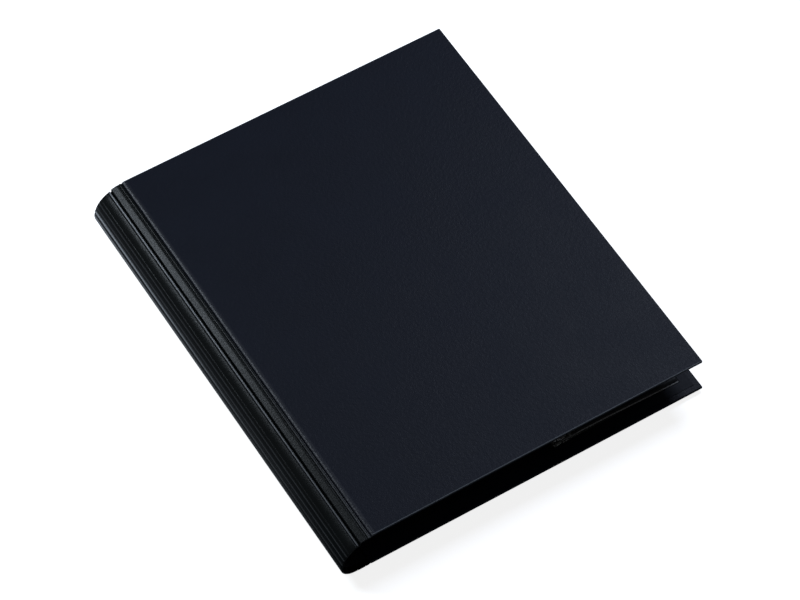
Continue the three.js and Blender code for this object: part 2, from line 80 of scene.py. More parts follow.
# %% [markdown]
# ## Sizes that the sections share
#
# The folder's outside comes from the frame, so that the covering and the frame agree. The
# rest are a bookbinder's sizes: the board's thickness, how far the covering turns in, how
# far the board stops short of the spine. The front cover starts a little further in than
# the back cover, as the paper there is drawn over a fuller shoulder. The spine is round with
# a radius of 20 mm, from its widest line to the groove 13 mm in, and a smaller round carries
# it down to its foot.

# %%
MM = 0.001
FOLDER_WIDTH = (cad_high.x - cad_low.x) / MM
FOLDER_THICKNESS = (cad_high.z - cad_low.z) / MM
HALF_HEIGHT = (cad_high.y - cad_low.y) / MM / 2
FRONT_FORE_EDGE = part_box("front_skin")[1].x / MM + FOLDER_WIDTH / 2
COVER_EDGE = 2.1
RECESS_DEPTH = 1.72
TURN_IN = 10.0
SHOULDER_START = 20.5
BOARD_START = 22.8
BOARD_FACE = 0.42
BOARD_BACK = 1.62
SHOULDER_DROP = 1.1
FRONT_SHOULDER_SHIFT = 1.55
PANEL_START = 24.0
SPINE_RADIUS = 20.0
SPINE_END = 13.0
GROOVE_LIP_DROP = 3.6
UNDER_LIFT = 0.4
SPINE_END_ANGLE = math.acos((SPINE_RADIUS - SPINE_END) / SPINE_RADIUS)
SPINE_ARC = SPINE_RADIUS * SPINE_END_ANGLE
BELLY_HEIGHT = (FOLDER_THICKNESS - GROOVE_LIP_DROP
                - SPINE_RADIUS * math.sin(SPINE_END_ANGLE))
FOOT_RADIUS = BELLY_HEIGHT - UNDER_LIFT
print(f"folder {FOLDER_WIDTH:.1f} x {2 * HALF_HEIGHT:.1f} x {FOLDER_THICKNESS:.1f} mm")
print(f"widest line of the spine at z = {BELLY_HEIGHT:.2f} mm")

# %% [markdown]
# ## Small helpers
#
# A folder is mostly one section run from tail to head, the way a bookbinder cuts long
# strips and folds them along their length. `run_section` does that with bmesh's extrude,
# in steps, so that a long piece can still bow a little along its length. `finish_piece`
# turns a mesh into a named object and hides the frame's nodes that it stands for.

# %%
def across(s):
    """X in metres of a place measured from the spine's outermost line in millimetres."""
    return (s - FOLDER_WIDTH / 2) * MM


def station(x):
    """Place in millimetres from the spine's outermost line of an X in metres."""
    return x / MM + FOLDER_WIDTH / 2


def extrude_run(bm, edges, step, steps):
    """Extrudes a chain of edges by one step again and again, and returns the last chain."""
    for _ in range(steps):
        made = bmesh.ops.extrude_edge_only(bm, edges=edges)["geom"]
        moved = {v for v in made if isinstance(v, bmesh.types.BMVert)}
        edges = [
            e for e in made if isinstance(e, bmesh.types.BMEdge) and set(e.verts) <= moved
        ]
        bmesh.ops.translate(bm, verts=list(moved), vec=step)
    return edges


def run_section(section, y_low, y_high, steps, closed=True):
    """Runs a section of (s, z) points from y_low to y_high, and fills its ends if closed."""
    bm = bmesh.new()
    verts = [bm.verts.new((across(s), y_low * MM, z * MM)) for s, z in section]
    pairs = list(zip(verts, verts[1:])) + ([(verts[-1], verts[0])] if closed else [])
    first_ring = [bm.edges.new(pair) for pair in pairs]
    last_ring = extrude_run(bm, first_ring, (0, (y_high - y_low) * MM / steps, 0), steps)
    if closed:
        bmesh.ops.edgeloop_fill(bm, edges=first_ring)
        bmesh.ops.edgeloop_fill(bm, edges=last_ring)
    bmesh.ops.recalc_face_normals(bm, faces=bm.faces)
    return bm


def eased(points, per_span):
    """Points of a smooth curve through the given points (a Catmull-Rom curve)."""
    ends = [points[0], *points, points[-1]]
    curve = [Vector(points[0])]
    for a, b, c, d in zip(ends, ends[1:], ends[2:], ends[3:]):
        a, b, c, d = Vector(a), Vector(b), Vector(c), Vector(d)
        for i in range(1, per_span + 1):
            t = i / per_span
            curve.append(
                0.5 * (2 * b + (c - a) * t + (2 * a - 5 * b + 4 * c - d) * t**2
                       + (3 * b - a - 3 * c + d) * t**3)
            )
    return [tuple(p) for p in curve]


def arc(centre, radii, start, end, steps):
    """Points of an elliptical arc, angles in degrees."""
    points = []
    for i in range(steps + 1):
        angle = math.radians(start + (end - start) * i / steps)
        points.append((centre[0] + radii[0] * math.cos(angle),
                       centre[1] + radii[1] * math.sin(angle)))
    return points


def bevel(bm, edges, radius, segments):
    """Rounds edges of a mesh, radius in millimetres."""
    bmesh.ops.bevel(bm, geom=edges, offset=radius * MM, segments=segments, profile=0.5,
                    affect="EDGES", clamp_overlap=False, material=-1)


def finish_piece(bm, name, material, replaced, sharp=40, weighted=False, painted_highlight=None):
    """Makes a named object of a mesh, shaded smooth but for its sharp edges."""
    mesh = bpy.data.meshes.new(name)
    bm.to_mesh(mesh)
    bm.free()
    # A piece may carry an attribute that marks where painted highlights go on its ridges.
    if painted_highlight:
        highlit = mesh.attributes.new("painted_highlight", "FLOAT", "POINT")
        highlit.data.foreach_set("value", [painted_highlight(v.co) for v in mesh.vertices])
    mesh.materials.append(material)
    mesh.shade_smooth()
    mesh.set_sharp_from_angle(angle=math.radians(sharp))
    piece = bpy.data.objects.new(name, mesh)
    bpy.context.scene.collection.objects.link(piece)
    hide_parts(*replaced)
    if weighted:
        modifier = piece.modifiers.new("weighted_normals", "WEIGHTED_NORMAL")
        modifier.keep_sharp = True
    print(f"{name}: {len(mesh.vertices)} vertices, {len(mesh.polygons)} faces")
    return piece

# %% [markdown]
# ## Effects that several finishes share
#
# Two node groups hold what several finishes have in common: an embossed grain, and the
# fibres of paper. These helpers build their nodes.

# %%
def new_group(name, inputs, outputs):
    """A shader node group with the named sockets, and its two end nodes."""
    group = bpy.data.node_groups.new(name, "ShaderNodeTree")
    for label, kind in inputs:
        group.interface.new_socket(label, in_out="INPUT", socket_type=kind)
    for label, kind in outputs:
        group.interface.new_socket(label, in_out="OUTPUT", socket_type=kind)
    start = group.nodes.new("NodeGroupInput")
    end = group.nodes.new("NodeGroupOutput")
    return group, start, end


def add_node(tree, kind, **settings):
    """A node with its properties and the default values of its inputs set."""
    node = tree.nodes.new(kind)
    for key, value in settings.items():
        if key.startswith("in_"):
            label = key[3:]
            socket = node.inputs[int(label)] if label.isdigit() else node.inputs[label]
            socket.default_value = value
        else:
            setattr(node, key, value)
    return node


def math_node(tree, operation, first, second=None, third=None):
    """A Math node fed with sockets or plain numbers; returns its output."""
    node = tree.nodes.new("ShaderNodeMath")
    node.operation = operation
    for index, value in enumerate((first, second, third)):
        if value is None:
            continue
        if isinstance(value, (int, float)):
            node.inputs[index].default_value = value
        else:
            tree.links.new(value, node.inputs[index])
    return node.outputs[0]


def map_range(tree, value, low, high, to_low, to_high):
    """A Map Range node's output, clamped."""
    node = add_node(tree, "ShaderNodeMapRange", in_1=low, in_2=high, in_3=to_low, in_4=to_high)
    tree.links.new(value, node.inputs[0])
    return node.outputs[0]

# %% [markdown]
# ### The embossed grain
#
# Leatherette paper is embossed by a steel roller: small rounded pebbles with fine creases
# between them. The pattern is a Voronoi of cells whose borders are bent by noise, with a
# broader unevenness of the paper under it. The group puts out the height of the grain, a
# mask of its creases and a slow cloud, and each material decides for itself what to do with
# them.

# %%
BEND_REACH = 0.0012
FINE_SHARE = 0.25
MOTTLE_SHARE = 4.0


def leather_grain_group():
    """Height of an embossed leather grain, the mask of its creases and a slow cloud."""
    group, start, end = new_group(
        "leather_grain",
        [("Vector", "NodeSocketVector"), ("Cells", "NodeSocketFloat")],
        [("Height", "NodeSocketFloat"), ("Crease", "NodeSocketFloat"),
         ("Cloud", "NodeSocketFloat")],
    )
    bend = add_node(group, "ShaderNodeTexNoise", in_Scale=420.0, in_Detail=2.0)
    group.links.new(start.outputs["Vector"], bend.inputs["Vector"])
    shift = add_node(group, "ShaderNodeVectorMath", operation="MULTIPLY_ADD",
                     in_1=(BEND_REACH, BEND_REACH, BEND_REACH))
    group.links.new(bend.outputs["Color"], shift.inputs[0])
    group.links.new(start.outputs["Vector"], shift.inputs[2])
    cells = add_node(group, "ShaderNodeTexVoronoi", feature="DISTANCE_TO_EDGE")
    group.links.new(shift.outputs[0], cells.inputs["Vector"])
    group.links.new(start.outputs["Cells"], cells.inputs["Scale"])
    crease = map_range(group, cells.outputs["Distance"], 0.0, 0.22, 1.0, 0.0)
    pebble = map_range(group, cells.outputs["Distance"], 0.0, 0.45, 0.0, 1.0)
    fine = add_node(group, "ShaderNodeTexNoise", in_Scale=5200.0, in_Detail=3.0)
    group.links.new(start.outputs["Vector"], fine.inputs["Vector"])
    height = math_node(group, "MULTIPLY_ADD", fine.outputs["Fac"], FINE_SHARE, pebble)
    mottle = add_node(group, "ShaderNodeTexNoise", in_Scale=480.0, in_Detail=2.5)
    group.links.new(start.outputs["Vector"], mottle.inputs["Vector"])
    height = math_node(group, "MULTIPLY_ADD", mottle.outputs["Fac"], MOTTLE_SHARE, height)
    cloud = add_node(group, "ShaderNodeTexNoise", in_Scale=26.0, in_Detail=4.0,
                     in_Roughness=0.6)
    group.links.new(start.outputs["Vector"], cloud.inputs["Vector"])
    group.links.new(height, end.inputs["Height"])
    group.links.new(crease, end.inputs["Crease"])
    group.links.new(cloud.outputs["Fac"], end.inputs["Cloud"])
    return group


leather_grain = leather_grain_group()
print("group:", leather_grain.name)

# %% [markdown]
# ### The fibres
#
# Boards, linings and cloth share a simpler group: a noise that is stretched along one axis,
# and a slow change of tone. It also draws the marks on steel.

# %%
def paper_fibre_group():
    """Height of an uncoated sheet's fibres and a slow change of tone."""
    group, start, end = new_group(
        "paper_fibre",
        [("Vector", "NodeSocketVector"), ("Fibres", "NodeSocketFloat")],
        [("Height", "NodeSocketFloat"), ("Tone", "NodeSocketFloat")],
    )
    stretch = add_node(group, "ShaderNodeVectorMath", operation="MULTIPLY",
                       in_1=(1.0, 0.3, 1.0))
    group.links.new(start.outputs["Vector"], stretch.inputs[0])
    fibre = add_node(group, "ShaderNodeTexNoise", in_Detail=5.0, in_Roughness=0.65)
    group.links.new(stretch.outputs[0], fibre.inputs["Vector"])
    group.links.new(start.outputs["Fibres"], fibre.inputs["Scale"])
    tone = add_node(group, "ShaderNodeTexNoise", in_Scale=40.0, in_Detail=3.0)
    group.links.new(start.outputs["Vector"], tone.inputs["Vector"])
    group.links.new(fibre.outputs["Fac"], end.inputs["Height"])
    group.links.new(tone.outputs["Fac"], end.inputs["Tone"])
    return group


paper_fibre = paper_fibre_group()
print("group:", paper_fibre.name)

# %% [markdown]
# ## Materials
#
# Every finish is one shader whose colour, roughness and bump follow the piece's own
# coordinates, so nothing has to be unwrapped. These helpers join its nodes.

# %%
def start_material(name):
    """A new node material with its shader, and Object coordinates to draw patterns on."""
    material = bpy.data.materials.new(name)
    material.use_nodes = True
    tree = material.node_tree
    shader = tree.nodes["Principled BSDF"]
    place = tree.nodes.new("ShaderNodeTexCoord").outputs["Object"]
    return material, tree, shader, place


def use_group(tree, group, place, **values):
    """A group node in a material, fed with the place and its named values."""
    node = tree.nodes.new("ShaderNodeGroup")
    node.node_tree = group
    tree.links.new(place, node.inputs["Vector"])
    for label, value in values.items():
        node.inputs[label].default_value = value
    return node


def tint(tree, mask, low_colour, high_colour, shader):
    """Mixes the base colour between two colours by a mask."""
    mix = add_node(tree, "ShaderNodeMix", data_type="RGBA")
    mix.inputs["A"].default_value = (*low_colour, 1)
    mix.inputs["B"].default_value = (*high_colour, 1)
    tree.links.new(mask, mix.inputs["Factor"])
    tree.links.new(mix.outputs["Result"], shader.inputs["Base Color"])


def pale_by(tree, shader, mask, colour):
    """Mixes a colour over a material's base colour by a mask."""
    mix = add_node(tree, "ShaderNodeMix", data_type="RGBA")
    tree.links.new(shader.inputs["Base Color"].links[0].from_socket, mix.inputs["A"])
    mix.inputs["B"].default_value = (*colour, 1)
    tree.links.new(mask, mix.inputs["Factor"])
    tree.links.new(mix.outputs["Result"], shader.inputs["Base Color"])


def relief(tree, height, distance, strength, shader):
    """Bump of a height given in shares of a distance in metres."""
    bump = add_node(tree, "ShaderNodeBump", in_Strength=strength, in_Distance=distance)
    tree.links.new(height, bump.inputs["Height"])
    tree.links.new(bump.outputs["Normal"], shader.inputs["Normal"])

# %% [markdown]
# ### Three kinds of finish
#
# The covering is a printed, lacquered paper: a very dark blue-black with a satin lacquer
# that is duller in the creases. Linings, pockets and boards are uncoated paper or cloth and
# show their fibres. The ring mechanism is steel with faint drawing marks.

# %%
NOISE_SPAN = (0.3, 0.7)
CREASE_TINT = -0.45
CREASE_ROUGHNESS = 0.12
MARK_SHARE = 0.86


def leatherette(name, low_colour, high_colour, cells, roughness, depth, strength, specular):
    """Grained, lacquered covering paper."""
    material, tree, shader, place = start_material(name)
    grain = use_group(tree, leather_grain, place, Cells=cells)
    mask = math_node(tree, "MULTIPLY_ADD", grain.outputs["Crease"], CREASE_TINT,
                     grain.outputs["Cloud"])
    tint(tree, mask, low_colour, high_colour, shader)
    rough = map_range(tree, grain.outputs["Cloud"], *NOISE_SPAN, *roughness)
    rougher = math_node(tree, "MULTIPLY_ADD", grain.outputs["Crease"], CREASE_ROUGHNESS, rough)
    tree.links.new(rougher, shader.inputs["Roughness"])
    relief(tree, grain.outputs["Height"], depth, strength, shader)
    shader.inputs["Specular IOR Level"].default_value = specular
    return material, rougher


def plain_paper(name, low_colour, high_colour, fibres, roughness, depth, strength, specular):
    """Uncoated paper, board or book cloth with its fibres."""
    material, tree, shader, place = start_material(name)
    fibre = use_group(tree, paper_fibre, place, Fibres=fibres)
    tint(tree, fibre.outputs["Tone"], low_colour, high_colour, shader)
    rough = map_range(tree, fibre.outputs["Height"], *NOISE_SPAN, *roughness)
    tree.links.new(rough, shader.inputs["Roughness"])
    relief(tree, fibre.outputs["Height"], depth, strength, shader)
    shader.inputs["Specular IOR Level"].default_value = specular
    return material


def plated_metal(name, colour, fibres, roughness, depth, strength):
    """Plated or drawn steel with fine drawing marks along its length."""
    material, tree, shader, place = start_material(name)
    marks = use_group(tree, paper_fibre, place, Fibres=fibres)
    darker = tuple(MARK_SHARE * c for c in colour)
    tint(tree, marks.outputs["Tone"], darker, colour, shader)
    rough = map_range(tree, marks.outputs["Height"], *NOISE_SPAN, *roughness)
    tree.links.new(rough, shader.inputs["Roughness"])
    relief(tree, marks.outputs["Height"], depth, strength, shader)
    shader.inputs["Metallic"].default_value = 1.0
    return material

# %% [markdown]
# ### What handling does to them, and painted light
#
# The paper over the front cover's shoulder is stretched, so it is smoother and shines more.
# The rest is painted light. Pale painted highlights lie along the spine's ridges, the strip's
# ridge and the front cover's tail and head arrises, where light catches them. Low on the
# spine, near the tail, the gloss is turned down as painted shade. The pocket's folded edges
# are paled, partly as the grey core of the cut card and partly as a painted highlight, and
# the crumples of its cloth carry painted highlights in lumps.

# %%
STRETCHED_ZONE = (across(24.0), across(25.6))
STRETCHED_POLISH = 0.09
ARRIS_REACH = ((HALF_HEIGHT - 0.75) * MM, (HALF_HEIGHT - 0.35) * MM)
ARRIS_HEIGHT = ((FOLDER_THICKNESS - 0.6) * MM, (FOLDER_THICKNESS - 0.3) * MM)
# A pale colour painted on the front cover's tail and head arrises: a painted highlight.
ARRIS_HIGHLIGHT_COLOUR = (0.085, 0.093, 0.103)
# Where the spine's gloss is turned down as painted shade, and by how much.
BELLY_SHADE_LENGTH = (-0.150, -0.080)
BELLY_SHADE_HEIGHT = (0.019, 0.028)
BELLY_SHADE_GLOSS_DROP = 0.8
# How the painted highlights on the crumpled cloth fade between lumps.
LUMP_HIGHLIGHT_FADE = (0.47, 0.60)


def axes_of(tree):
    """X, Y and Z of the piece's own coordinates, as the outputs of one node."""
    axes = tree.nodes.new("ShaderNodeSeparateXYZ")
    tree.links.new(tree.nodes["Texture Coordinate"].outputs["Object"], axes.inputs[0])
    return axes.outputs


def paint_ridge_highlights(material, colour):
    """Paints highlights: pales a material where the piece's own attribute marks ridges that
    catch the light.
    """
    tree = material.node_tree
    shader = tree.nodes["Principled BSDF"]
    highlit = tree.nodes.new("ShaderNodeAttribute")
    highlit.attribute_name = "painted_highlight"
    pale_by(tree, shader, highlit.outputs["Fac"], colour)


def polish_cover_and_paint_arris(material, rougher, specular):
    """Smoother, glossier paper over the hinge shoulder, and a painted highlight along the tail
    and head arrises.
    """
    tree = material.node_tree
    shader = tree.nodes["Principled BSDF"]
    axes = axes_of(tree)
    stretched = map_range(tree, axes["X"], *STRETCHED_ZONE, 1.0, 0.0)
    smooth = math_node(tree, "MULTIPLY_ADD", stretched, -STRETCHED_POLISH, rougher)
    tree.links.new(smooth, shader.inputs["Roughness"])
    gloss = math_node(tree, "MULTIPLY_ADD", stretched, STRETCHED_POLISH, specular)
    tree.links.new(gloss, shader.inputs["Specular IOR Level"])
    reach = math_node(tree, "ABSOLUTE", axes["Y"])
    near_end = map_range(tree, reach, *ARRIS_REACH, 0.0, 1.0)
    near_top = map_range(tree, axes["Z"], *ARRIS_HEIGHT, 0.0, 1.0)
    # The pale arris colour is a painted highlight.
    arris_highlight = math_node(tree, "MULTIPLY", near_end, near_top)
    pale_by(tree, shader, arris_highlight, ARRIS_HIGHLIGHT_COLOUR)


def shade_belly_gloss(material, specular):
    """Painted shade: the spine's gloss is turned down low on the belly, near the tail."""
    tree = material.node_tree
    axes = axes_of(tree)
    tailward = map_range(tree, axes["Y"], *BELLY_SHADE_LENGTH, 1.0, 0.0)
    low = map_range(tree, axes["Z"], *BELLY_SHADE_HEIGHT, 1.0, 0.0)
    belly_shade = math_node(tree, "MULTIPLY", tailward, low)
    gloss = math_node(tree, "MULTIPLY_ADD", belly_shade, -BELLY_SHADE_GLOSS_DROP * specular, specular)
    tree.links.new(gloss, tree.nodes["Principled BSDF"].inputs["Specular IOR Level"])


def pale_edge_and_highlight(material, low, high, colour, mouth):
    """Pales a sheet's tail and head edges, from low to high along |Y|, less at its mouth: partly
    the card's grey cut core, partly a painted highlight.
    """
    tree = material.node_tree
    shader = tree.nodes["Principled BSDF"]
    axes = axes_of(tree)
    reach = math_node(tree, "ABSOLUTE", axes["Y"])
    edge = map_range(tree, reach, low, high, 0.0, 1.0)
    past_mouth = map_range(tree, axes["X"], *mouth, 0.25, 1.0)
    zone = math_node(tree, "MULTIPLY", edge, past_mouth)
    pale_by(tree, shader, zone, colour)


def paint_lump_highlights(material, low, high, colour, lumps):
    """Paints highlights in lumps on the crumples of a cloth, from low to high along X."""
    tree = material.node_tree
    shader = tree.nodes["Principled BSDF"]
    place = tree.nodes["Texture Coordinate"].outputs["Object"]
    crumpled = map_range(tree, axes_of(tree)["X"], low, high, 0.0, 1.0)
    patches = add_node(tree, "ShaderNodeTexNoise", in_Scale=lumps, in_Detail=1.0)
    tree.links.new(place, patches.inputs["Vector"])
    highlit = map_range(tree, patches.outputs["Fac"], *LUMP_HIGHLIGHT_FADE, 0.05, 1.0)
    zone = math_node(tree, "MULTIPLY", crumpled, highlit)
    pale_by(tree, shader, zone, colour)

# %% [markdown]
# ### The finishes of this folder
#
# The spine's paper is the same stuff as the covers', pressed over a curve, so its grain is
# flatter and its lacquer smoother.

# %%
COVER_SPECULAR = 0.070
SPINE_SPECULAR = 0.075
CELLS = 900.0

cover_leatherette, cover_rougher = leatherette(
    "cover_leatherette", (0.0008, 0.0018, 0.0052), (0.0016, 0.0030, 0.0080), CELLS,
    roughness=(0.38, 0.43), depth=0.00004, strength=0.9, specular=COVER_SPECULAR)
polish_cover_and_paint_arris(cover_leatherette, cover_rougher, COVER_SPECULAR)
spine_leatherette, _ = leatherette(
    "spine_leatherette", (0.0010, 0.0018, 0.0020), (0.0018, 0.0030, 0.0034), CELLS,
    roughness=(0.20, 0.25), depth=0.000014, strength=0.9, specular=SPINE_SPECULAR)
# Painted highlights on the spine's ridges, in this pale grey.
paint_ridge_highlights(spine_leatherette, (0.262, 0.270, 0.282))
# Painted shade: the gloss is turned down low on the spine's belly near the tail.
shade_belly_gloss(spine_leatherette, SPINE_SPECULAR)
lining_black = plain_paper(
    "lining_black", (0.0018, 0.0030, 0.0058), (0.0032, 0.0046, 0.0086), fibres=1500.0,
    roughness=(0.46, 0.56), depth=0.00005, strength=0.4, specular=0.06)
pocket_black = plain_paper(
    "pocket_black", (0.0014, 0.0020, 0.0028), (0.0026, 0.0034, 0.0044), fibres=900.0,
    roughness=(0.46, 0.56), depth=0.00005, strength=0.4, specular=0.07)
gusset_black = plain_paper(
    "gusset_black", (0.0016, 0.0018, 0.0020), (0.0034, 0.0038, 0.0042), fibres=2600.0,
    roughness=(0.50, 0.65), depth=0.00008, strength=0.4, specular=0.12)
# The pocket sheet's pale edge is partly the card's grey cut core and partly a painted highlight
# where light would catch it, fading towards the mouth.
pale_edge_and_highlight(pocket_black, (HALF_HEIGHT - 11.75) * MM, (HALF_HEIGHT - 11.55) * MM,
          (0.300, 0.302, 0.305), mouth=(across(166), across(180)))
# Painted highlights in pale lumps on the crumpled bellows near the pocket's mouth.
paint_lump_highlights(gusset_black, across(182), across(170), (0.360, 0.365, 0.360), lumps=620.0)
grey_board = plain_paper(
    "grey_board", (0.1500, 0.1350, 0.1150), (0.2100, 0.1950, 0.1700), fibres=700.0,
    roughness=(0.88, 0.96), depth=0.00015, strength=0.6, specular=0.3)
nickel_plate = plated_metal(
    "nickel_plate", (0.60, 0.59, 0.57), fibres=500.0, roughness=(0.07, 0.12),
    depth=0.00002, strength=0.10)
spring_steel = plated_metal(
    "spring_steel", (0.46, 0.47, 0.49), fibres=1400.0, roughness=(0.30, 0.42),
    depth=0.00004, strength=0.3)
made = (cover_leatherette, spine_leatherette, lining_black, pocket_black, gusset_black,
        grey_board, nickel_plate, spring_steel)
print("finishes:", ", ".join(material.name for material in made))

# %% [markdown]
# ## The spine's covering
#
# On the real folder the board of the spine is bent over a heated former, and the covering
# is pressed down with brass rules: three fine lines on the round of the spine, two ridges on
# its belly, and a raised bead beside the deep groove where the strip begins. `RELIEF` lists
# each of them by its distance from the spine's widest line along the arc, its height and its
# half width, in millimetres.
#
# Pale painted highlights lie along their ridges, where light catches them, brightest near
# the head, which is nearer the light. The table of painted highlights lists each ridge by
# its distance, its half width, how strong its painted highlight is at the tail and at the
# head, and the power by which that grows.

# %%
SCORE_ARCS = (10.0, 13.7, 16.2)
# How much painted highlight each score line carries.
SCORE_HIGHLIGHTS = (0.16, 0.12, 0.02)
BELLY_ARC = 5.9
LOW_LINE_ARC = 1.2
VALLEY_ARC = SPINE_ARC - 1.75
BEAD_ARC = SPINE_ARC - 0.75
RELIEF = [
    *[(centre, -0.11, 0.28) for centre in SCORE_ARCS],
    (BELLY_ARC, 0.26, 0.60),
    (BELLY_ARC + 1.3, -0.22, 0.45),
    (BELLY_ARC - 1.6, -0.20, 0.55),
    (LOW_LINE_ARC, 0.16, 0.60),
    (VALLEY_ARC, -0.30, 0.20),
    (BEAD_ARC, 0.14, 0.60),
]
# The painted highlights along the spine's ridges.
RIDGE_HIGHLIGHTS = [
    (BELLY_ARC, 0.75, 0.10, 1.70, 2),
    (LOW_LINE_ARC, 0.90, 0.05, 0.95, 2),
    *[(centre - 0.5, 0.35, share, share, 1) for centre, share in zip(SCORE_ARCS, SCORE_HIGHLIGHTS)],
    (BEAD_ARC + 0.05, 0.34, 0.34, 0.64, 1),
]
HIGHLIGHT_START = -120.0
HIGHLIGHT_LENGTH = 260.0
FACE_DEPTH = 0.9


def bump_at(position, centre, width):
    """A smooth hill of height 1 and the given half width, centred on a position."""
    return math.exp(-(((position - centre) / width) ** 2))


def spine_lift(along):
    """Relief of the spine's covering in millimetres, by arc distance from the belly."""
    return sum(height * bump_at(along, centre, width) for centre, height, width in RELIEF)


def spine_highlight(co):
    """How strongly a point of the spine's covering carries the painted highlight; its inner half
    never does.
    """
    s, z = station(co.x), co.z / MM
    if math.hypot(SPINE_RADIUS - s, z - BELLY_HEIGHT) < SPINE_RADIUS - FACE_DEPTH:
        return 0.0
    along = SPINE_RADIUS * math.atan2(z - BELLY_HEIGHT, SPINE_RADIUS - s)
    headward = min(1.0, max(0.0, (co.y / MM - HIGHLIGHT_START) / HIGHLIGHT_LENGTH))
    return sum((tail + (head - tail) * headward ** power) * bump_at(along, centre, width)
               for centre, width, tail, head, power in RIDGE_HIGHLIGHTS)


print("relief of the spine:", len(RELIEF), "lines,", len(RIDGE_HIGHLIGHTS), "rubbed ridges")

# %% [markdown]
# The section walks from the groove over the belly to the round foot, lifted or dropped by
# the relief, and comes back at the depth of the covering and its board. It is run from tail
# to head. The ends are rounded, as the paper turns in over the board there, and a slow noise
# along the normals gives it the slight waviness of pressed paper.

# %%
ARC_STATIONS = 220
LENGTH_STEPS = 64
SKIN_BACK = 1.72
FOOT_END = 11.8
END_RADIUS = 0.35


def spine_side(depth, relief_share, foot_end=FOOT_END):
    """The spine's section from the groove over the belly to the foot, at a depth."""
    points = []
    for i in range(ARC_STATIONS + 1):
        along = SPINE_ARC * (1 - i / ARC_STATIONS)
        radius = SPINE_RADIUS - depth + relief_share * spine_lift(along)
        angle = along / SPINE_RADIUS
        points.append((SPINE_RADIUS - radius * math.cos(angle),
                       BELLY_HEIGHT + radius * math.sin(angle)))
    inner = FOOT_RADIUS - depth
    points += arc((FOOT_RADIUS, BELLY_HEIGHT), (inner, inner), 180, 270, 22)[1:]
    points.append((foot_end, UNDER_LIFT + depth))
    return points


def sag(bm, depth, scale, seed):
    """A slow, slight waviness along the normal, as pressed paper has."""
    for v in bm.verts:
        place = Vector((v.co.x * scale, v.co.y * scale, v.co.z * scale + seed))
        v.co += v.normal * noise.noise(place) * depth * MM


spine = run_section(
    spine_side(0, 1) + spine_side(SKIN_BACK, 0)[::-1], -HALF_HEIGHT, HALF_HEIGHT, LENGTH_STEPS)
spine.normal_update()
spine_ends = [e for e in spine.edges
              if len(e.link_faces) == 2 and max(len(f.verts) for f in e.link_faces) > 8]
bevel(spine, spine_ends, END_RADIUS, 3)
spine.normal_update()
sag(spine, depth=0.015, scale=28, seed=1.7)
spine_covering = finish_piece(
    spine, "spine_covering", spine_leatherette, ["spine_skin"], painted_highlight=spine_highlight)
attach(spine_covering, "spine")

# %% [markdown]
# Inside the covering lies the bent board. It is cut a little shorter than the covering on
# every side, so that no pale edge shows.

# %%
CORE_INSET = 1.4
CORE_FOOT_END = 9.5
CORE_TRIM = 6
core_section = (spine_side(BOARD_FACE, 0, CORE_FOOT_END)[CORE_TRIM:]
                + spine_side(BOARD_BACK, 0, CORE_FOOT_END)[:CORE_TRIM - 1:-1])
spine_core = finish_piece(
    run_section(core_section, CORE_INSET - HALF_HEIGHT, HALF_HEIGHT - CORE_INSET, 8),
    "spine_core", grey_board, ["spine_board"])
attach(spine_core, "spine")

# %% [markdown]
# ## The folding strips
#
# A strip of the same covering, backed with a thin card, crosses each joint of the case. Its
# near edge goes down into the deep groove beside the spine, its far edge tucks under the
# cover's rounded shoulder, and a pressed line beside a low ridge tells the strip where to
# fold.

# %%
STRIP_RIDGE = 20.25
RIDGE_TOP = 31.5
# Where the painted highlight on the strip's ridge grows, towards the tail.
STRIP_HIGHLIGHT_START = 90
STRIP_HIGHLIGHT_LENGTH = 240

front_strip_top = eased([
    (13.0, 27.66), (13.6, 27.74), (14.0, 28.2), (14.1, 29.4), (14.14, 30.1), (14.35, 30.5),
    (14.8, 30.73), (16.4, 31.17), (18.0, 31.58), (19.0, 31.66), (19.35, 31.3),
    (19.65, 31.62), (20.2, 32.0), (20.7, 31.95), (21.1, 31.62), (21.6, 31.5),
    (22.7, 31.15)], 6)
front_strip_under = [
    (22.7, 30.55), (21.0, 30.6), (18.2, 30.7), (15.0, 30.4), (14.5, 30.1), (14.35, 29.0),
    (14.15, 27.9), (13.6, 27.4), (13.0, 27.32)]


def strip_highlight(co):
    """A faint painted highlight on the strip's ridge beside the cover, brighter towards the
    tail.
    """
    s, z = station(co.x), co.z / MM
    tailward = min(1.0, max(0.0, (STRIP_HIGHLIGHT_START - co.y / MM) / STRIP_HIGHLIGHT_LENGTH))
    return 0.14 * tailward * bump_at(s, STRIP_RIDGE, 0.30) if z > RIDGE_TOP else 0.0


front_strip = run_section(
    front_strip_top + eased(front_strip_under, 4), -HALF_HEIGHT, HALF_HEIGHT, LENGTH_STEPS)
front_strip.normal_update()
sag(front_strip, depth=0.015, scale=40, seed=5.1)
front_hinge_covering = finish_piece(
    front_strip, "front_hinge_covering", spine_leatherette,
    ["front_hinge_strip"], painted_highlight=strip_highlight)
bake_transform(front_hinge_covering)

# %% [markdown]
# The back strip lies flat at the folder's foot, with its pressed line on the underside.

back_strip_under = eased([
    (11.9, 0.42), (12.6, 0.4), (14.5, 0.4), (16.6, 0.4), (17.0, 0.62), (17.3, 0.7),
    (17.6, 0.62), (18.0, 0.42), (19.4, 0.5), (20.1, 0.85), (21.0, 1.15)], 6)
back_strip_top = [(21.0, 1.55), (19.6, 1.3), (17.0, 1.15), (14.5, 1.0), (11.9, 1.0)]
back_strip = run_section(
    back_strip_under + eased(back_strip_top, 4), -HALF_HEIGHT, HALF_HEIGHT, LENGTH_STEPS)
back_hinge_covering = finish_piece(
    back_strip, "back_hinge_covering", spine_leatherette,
    ["back_hinge_strip"])
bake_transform(back_hinge_covering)

# %% [markdown]
# On the inside a strip of lining paper covers each joint.

# %%
LINING_END_MARGIN = 4.0
LINING_PAPER = 0.22


